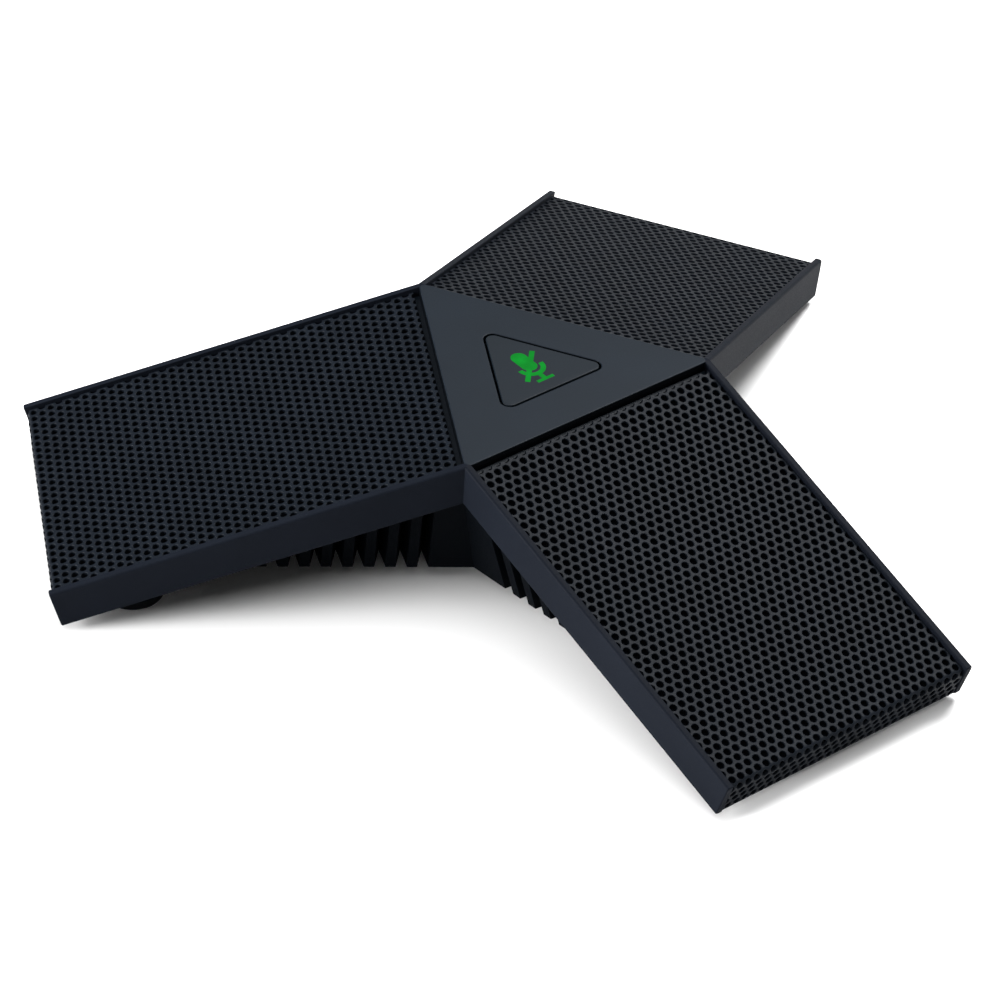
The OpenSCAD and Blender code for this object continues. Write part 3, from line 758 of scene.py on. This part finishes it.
class SPEAKERPHONE_OT_grilles(bpy.types.Operator):
    """Build the three perforated sheets, folded down at the tips"""

    bl_idname = "speakerphone.grilles"
    bl_label = "Grilles"

    def execute(self, context):
        size = sizes()
        steel = coated_steel(tuple(finishes().sheet))
        radius = size.hole_diameter / 2
        spacing = row_spacing()
        for arm, angle in ARMS.items():
            sheet = FoldedSheet(angle, 0, size.sheet_thickness)
            last = sheet.slope - size.last_row

            def sunk(point):
                """How far the rim of the nearest hole is pressed in at a point."""
                nearest = size.hole_pitch
                row = round((point.x - last) / spacing)
                for k in (row - 1, row, row + 1):
                    shift = row_shift(k)
                    y = round((point.y - shift) / size.hole_pitch) * size.hole_pitch + shift
                    nearest = min(nearest, math.hypot(point.x - last - k * spacing, point.y - y))
                pressed = (radius + size.hole_rim - nearest) / size.hole_rim
                return size.hole_rim * min(max(pressed, 0), 1)

            flat = flat_grille(sheet)
            sheet.trim(flat)
            name = f"grille_sheet_{arm}"
            new_piece(name, sheet.solid(name, flat, sunk), steel,
                      nodes=[f"grille_{arm}"])
        return {"FINISHED"}


class SPEAKERPHONE_OT_cloth(bpy.types.Operator):
    """Build the black cloth that is stretched behind each grille"""

    bl_idname = "speakerphone.cloth"
    bl_label = "Acoustic cloth"

    def execute(self, context):
        size = sizes()
        weave = woven_cloth(tuple(finishes().cloth))
        depth = size.sheet_thickness + size.clearance
        for arm, angle in ARMS.items():
            sheet = FoldedSheet(angle, depth, size.cloth_thickness)
            columns, rows = 24, 36
            flat = bmesh.new()
            bmesh.ops.create_grid(flat, x_segments=rows, y_segments=columns, size=0.5)
            bmesh.ops.scale(flat, verts=flat.verts, vec=(sheet.run, 2 * sheet.half_width, 1))
            bmesh.ops.translate(flat, verts=flat.verts, vec=(sheet.run / 2, 0, 0))
            sheet.trim(flat)
            name = f"cloth_sheet_{arm}"
            mesh = sheet.solid(name, flat, lambda point: 0.0)
            piece = new_piece(name, mesh, weave, nodes=[f"acoustic_cloth_{arm}"])
        return {"FINISHED"}


# ---------------------------------------------------------------- base and feet


class SPEAKERPHONE_OT_base(bpy.types.Operator):
    """Finish the louvred base, its cover and its rubber feet"""

    bl_idname = "speakerphone.base"
    bl_label = "Base and feet"

    def execute(self, context):
        plastic = satin_plastic("base_plastic", tuple(finishes().base), 0.6, 0.012)
        dress(plastic, "bottom_shell", "base_cover")
        feet = [f"foot_{arm}_{side}" for arm in ARMS for side in "ab"]
        dress(soft_rubber("foot_rubber", tuple(finishes().rubber)), *feet)
        soften(0.00012, *feet, segments=3)
        soften(0.0001, "base_cover")
        return {"FINISHED"}


class SPEAKERPHONE_OT_mute_key(bpy.types.Operator):
    """Build the mute key with its lit icon, and finish the switch under it"""

    bl_idname = "speakerphone.mute_key"
    bl_label = "Mute key"

    def execute(self, context):
        self.cap()
        self.dome()
        dress(glowing_icon(tuple(finishes().icon)), "icon_lens")
        dress(clear_guide(), "light_guide")
        dress(tinted("switch_black", (0.02, 0.02, 0.022), 0.5), "switch_body")
        dress(tinted("switch_ivory", (0.62, 0.57, 0.46), 0.45), "switch_plunger")
        return {"FINISHED"}

    def cap(self):
        """The key: a round-edged cap with a flange under the deck, open below for the light guide."""
        size = sizes()
        top = hub().z
        flange_top = top - size.deck_thickness - size.flange_drop
        flange_bottom = flange_top - size.flange_thickness
        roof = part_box("icon_lens")[0].z - LENS_GAP
        guide = (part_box("light_guide")[1].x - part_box("light_guide")[0].x) / 2 + size.clearance
        well = circle(guide, 60)
        cap_outline = triangle_outline(size.key_inradius - size.edge_round,
                                       size.key_corner - size.edge_round)
        cap = plate("cap", [cap_outline], roof, top - PROUD, size.edge_round)
        skirt_outline = triangle_outline(size.key_inradius, size.key_corner)
        skirt = plate("skirt", [skirt_outline, well], flange_top - OVERLAP, roof + 2 * OVERLAP, 0)
        flange_outline = triangle_outline(size.key_inradius + size.flange_reach,
                                          size.key_corner + size.flange_reach / 2)
        flange = plate("flange", [flange_outline, well], flange_bottom, flange_top, 0)
        pin = middle("switch_plunger") - hub()
        pin_outline = [(pin.x + x, pin.y + y) for x, y in circle(size.pin_radius, 24)]
        stem = plate("stem", [pin_outline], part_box("switch_plunger")[1].z, flange_bottom + OVERLAP, 0)
        plastic = satin_plastic("key_plastic", tuple(finishes().key), 0.5, 0.1)
        piece = new_piece("key_cap", joined("key_cap", [cap, skirt, flange, stem]), plastic, KEY_BODY,
                          nodes=["mute_key"])
        flatten_shading(piece)

    def dome(self):
        """The silicone ring that lifts the key."""
        size = sizes()
        low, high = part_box("return_dome")
        radius = (high.x - low.x) / 2
        top_radius = radius - size.dome_lean
        profile = [(radius - size.dome_wall, low.z), (radius, low.z), (top_radius, high.z),
                   (top_radius - size.dome_wall, high.z)]
        shape = bmesh.new()
        loops = [[shape.verts.new((hub().x + x, hub().y + y, z)) for x, y in circle(across, DOME_SIDES)]
                 for across, z in profile]
        for below, above in zip(loops, loops[1:] + loops[:1]):
            for i in range(DOME_SIDES):
                shape.faces.new((below[i - 1], below[i], above[i], above[i - 1]))
        piece = new_piece("dome", mesh_of("dome", shape), tinted("silicone", (0.5, 0.52, 0.55), 0.6),
                          nodes=["return_dome"])
        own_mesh(piece)


# ---------------------------------------------------------------- inside


class SPEAKERPHONE_OT_socket(bpy.types.Operator):
    """Finish the cable socket in the base"""

    bl_idname = "speakerphone.socket"
    bl_label = "Cable socket"

    def execute(self, context):
        dress(tinted("socket_plastic", (0.012, 0.012, 0.013), 0.45), "cable_socket")
        dress(tinted("contact_gold", (0.75, 0.48, 0.16), 0.25, metallic=1.0), "socket_contacts")
        soften(0.0001, "cable_socket")
        return {"FINISHED"}


class SPEAKERPHONE_OT_electronics(bpy.types.Operator):
    """Finish the boards, chips and tapes"""

    bl_idname = "speakerphone.electronics"
    bl_label = "Electronics"

    def execute(self, context):
        dress(circuit_board(tuple(finishes().board)), "main_board", "socket_board",
              *[f"mic_board_{arm}" for arm in ARMS])
        dress(tinted("can_steel", (0.6, 0.61, 0.63), 0.3, metallic=1.0), "shield_can",
              *[f"mic_capsule_{arm}" for arm in ARMS])
        dress(tinted("chip_black", (0.015, 0.015, 0.017), 0.5), "audio_chip")
        dress(tinted("connector_ivory", (0.6, 0.55, 0.45), 0.5), "flex_sockets")
        dress(tinted("led_white", (0.85, 0.85, 0.78), 0.35), "status_led")
        dress(tinted("flex_tape", (0.55, 0.24, 0.05), 0.35), "socket_flex",
              *[f"mic_flex_{arm}" for arm in ARMS])
        dress(soft_rubber("boot_rubber", tuple(finishes().rubber)), *[f"mic_boot_{arm}" for arm in ARMS])
        return {"FINISHED"}


class SPEAKERPHONE_OT_loudspeaker(bpy.types.Operator):
    """Finish the loudspeaker in the base"""

    bl_idname = "speakerphone.loudspeaker"
    bl_label = "Loudspeaker"

    def execute(self, context):
        dress(tinted("basket_black", (0.02, 0.021, 0.024), 0.4, metallic=0.6), "speaker_basket")
        dress(tinted("magnet_grey", (0.12, 0.125, 0.13), 0.5, metallic=0.4), "speaker_magnet")
        paper = tinted("cone_paper", (0.018, 0.018, 0.02), 0.85, grain=0.0003, height=0.00004)
        dress(paper, "speaker_cone")
        rubber = soft_rubber("surround_rubber", tuple(finishes().rubber))
        dress(rubber, "speaker_surround", "speaker_gasket")
        dress(tinted("lead_red", (0.4, 0.03, 0.02), 0.5), "speaker_leads")
        return {"FINISHED"}


class SPEAKERPHONE_OT_fasteners(bpy.types.Operator):
    """Finish the screws"""

    bl_idname = "speakerphone.fasteners"
    bl_label = "Fasteners"

    def execute(self, context):
        names = ["housing_screws", "cover_screws", "board_screws"]
        dress(tinted("screw_steel", (0.5, 0.5, 0.52), 0.3, metallic=1.0), *names)
        soften(0.0001, *names)
        return {"FINISHED"}


# ---------------------------------------------------------------- stage


class SPEAKERPHONE_OT_stage(bpy.types.Operator):
    """Set the floor, the studio lights and the camera"""

    bl_idname = "speakerphone.stage"
    bl_label = "Stage"

    def execute(self, context):
        stage = context.scene.speakerphone_stage
        context.scene.view_settings.view_transform = "Standard"
        context.scene.view_settings.look = "None"
        self.floor()
        for name, (place, diameter) in LIGHTS.items():
            self.light(name, getattr(stage, name), place, diameter)
        world = bpy.data.worlds.new("studio")
        world.use_nodes = True
        world.node_tree.nodes["Background"].inputs["Color"].default_value = (1, 1, 1, 1)
        world.node_tree.nodes["Background"].inputs["Strength"].default_value = stage.surround
        context.scene.world = world
        self.camera(stage)
        return {"FINISHED"}

    def floor(self):
        finish = Finish("pale_floor", (0.9, 0.9, 0.9), 0.8, specular=0.1)
        finish.shade(finish.noise(0.4, 3), (0.89, 0.89, 0.89), (0.91, 0.91, 0.91))
        shape = bmesh.new()
        bmesh.ops.create_grid(shape, x_segments=8, y_segments=8, size=6)
        bmesh.ops.translate(shape, verts=shape.verts, vec=(0, 0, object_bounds()[0][2]))
        mesh = bpy.data.meshes.new("floor")
        shape.to_mesh(mesh)
        shape.free()
        mesh.materials.append(finish.material)
        floor = bpy.data.objects.new("floor", mesh)
        bpy.context.scene.collection.objects.link(floor)
        floor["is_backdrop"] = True

    def light(self, name, power, place, diameter):
        lamp = bpy.data.lights.new(name, "AREA")
        lamp.energy = power
        lamp.shape = "DISK"
        lamp.size = diameter
        holder = bpy.data.objects.new(name, lamp)
        bpy.context.scene.collection.objects.link(holder)
        holder.location = place
        holder.rotation_euler = (-Vector(place)).to_track_quat("-Z", "Y").to_euler()

    def camera(self, stage):
        back = Vector((math.sin(stage.azimuth) * math.cos(stage.elevation),
                       -math.cos(stage.azimuth) * math.cos(stage.elevation), math.sin(stage.elevation)))
        right = Vector((0, 0, 1)).cross(back).normalized()
        up = back.cross(right)
        across = math.cos(stage.roll) * right + math.sin(stage.roll) * up
        upward = math.cos(stage.roll) * up - math.sin(stage.roll) * right
        lens = bpy.data.cameras.new("camera")
        lens.lens = stage.lens
        lens.sensor_width = 36
        lens.clip_start = 0.01
        lens.clip_end = 30
        camera = bpy.data.objects.new("camera", lens)
        bpy.context.scene.collection.objects.link(camera)
        turn = Matrix((across, upward, back)).transposed().to_4x4()
        camera.matrix_world = Matrix.Translation(hub() + Vector(stage.aim) + back * stage.distance) @ turn
        bpy.context.scene.camera = camera


OPERATORS = [
    SPEAKERPHONE_OT_stage,
    SPEAKERPHONE_OT_top_frame,
    SPEAKERPHONE_OT_grilles,
    SPEAKERPHONE_OT_cloth,
    SPEAKERPHONE_OT_base,
    SPEAKERPHONE_OT_mute_key,
    SPEAKERPHONE_OT_socket,
    SPEAKERPHONE_OT_electronics,
    SPEAKERPHONE_OT_loudspeaker,
    SPEAKERPHONE_OT_fasteners,
]
GROUPS = {
    "speakerphone_sizes": SpeakerphoneSizes,
    "speakerphone_finishes": SpeakerphoneFinishes,
    "speakerphone_stage": SpeakerphoneStage,
}


class SPEAKERPHONE_PT_panel(bpy.types.Panel):
    """Lists the pieces of the speakerphone"""

    bl_idname = "SPEAKERPHONE_PT_panel"
    bl_label = "Conference speakerphone"
    bl_space_type = "VIEW_3D"
    bl_region_type = "UI"
    bl_category = "Speakerphone"

    def draw(self, context):
        for operator in OPERATORS:
            self.layout.operator(operator.bl_idname)
        for name, group in GROUPS.items():
            box = self.layout.box()
            for field in group.__annotations__:
                box.prop(getattr(context.scene, name), field)


def register():
    for group in [*GROUPS.values(), *OPERATORS, SPEAKERPHONE_PT_panel]:
        bpy.utils.register_class(group)
    for name, group in GROUPS.items():
        setattr(bpy.types.Scene, name, PointerProperty(type=group))


def unregister():
    for name in GROUPS:
        delattr(bpy.types.Scene, name)
    for group in [SPEAKERPHONE_PT_panel, *OPERATORS, *GROUPS.values()]:
        bpy.utils.unregister_class(group)


def main():
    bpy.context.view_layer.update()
    register()
    for operator in OPERATORS:
        group, name = operator.bl_idname.split(".")
        getattr(getattr(bpy.ops, group), name)()


if __name__ == "__main__":
    main()
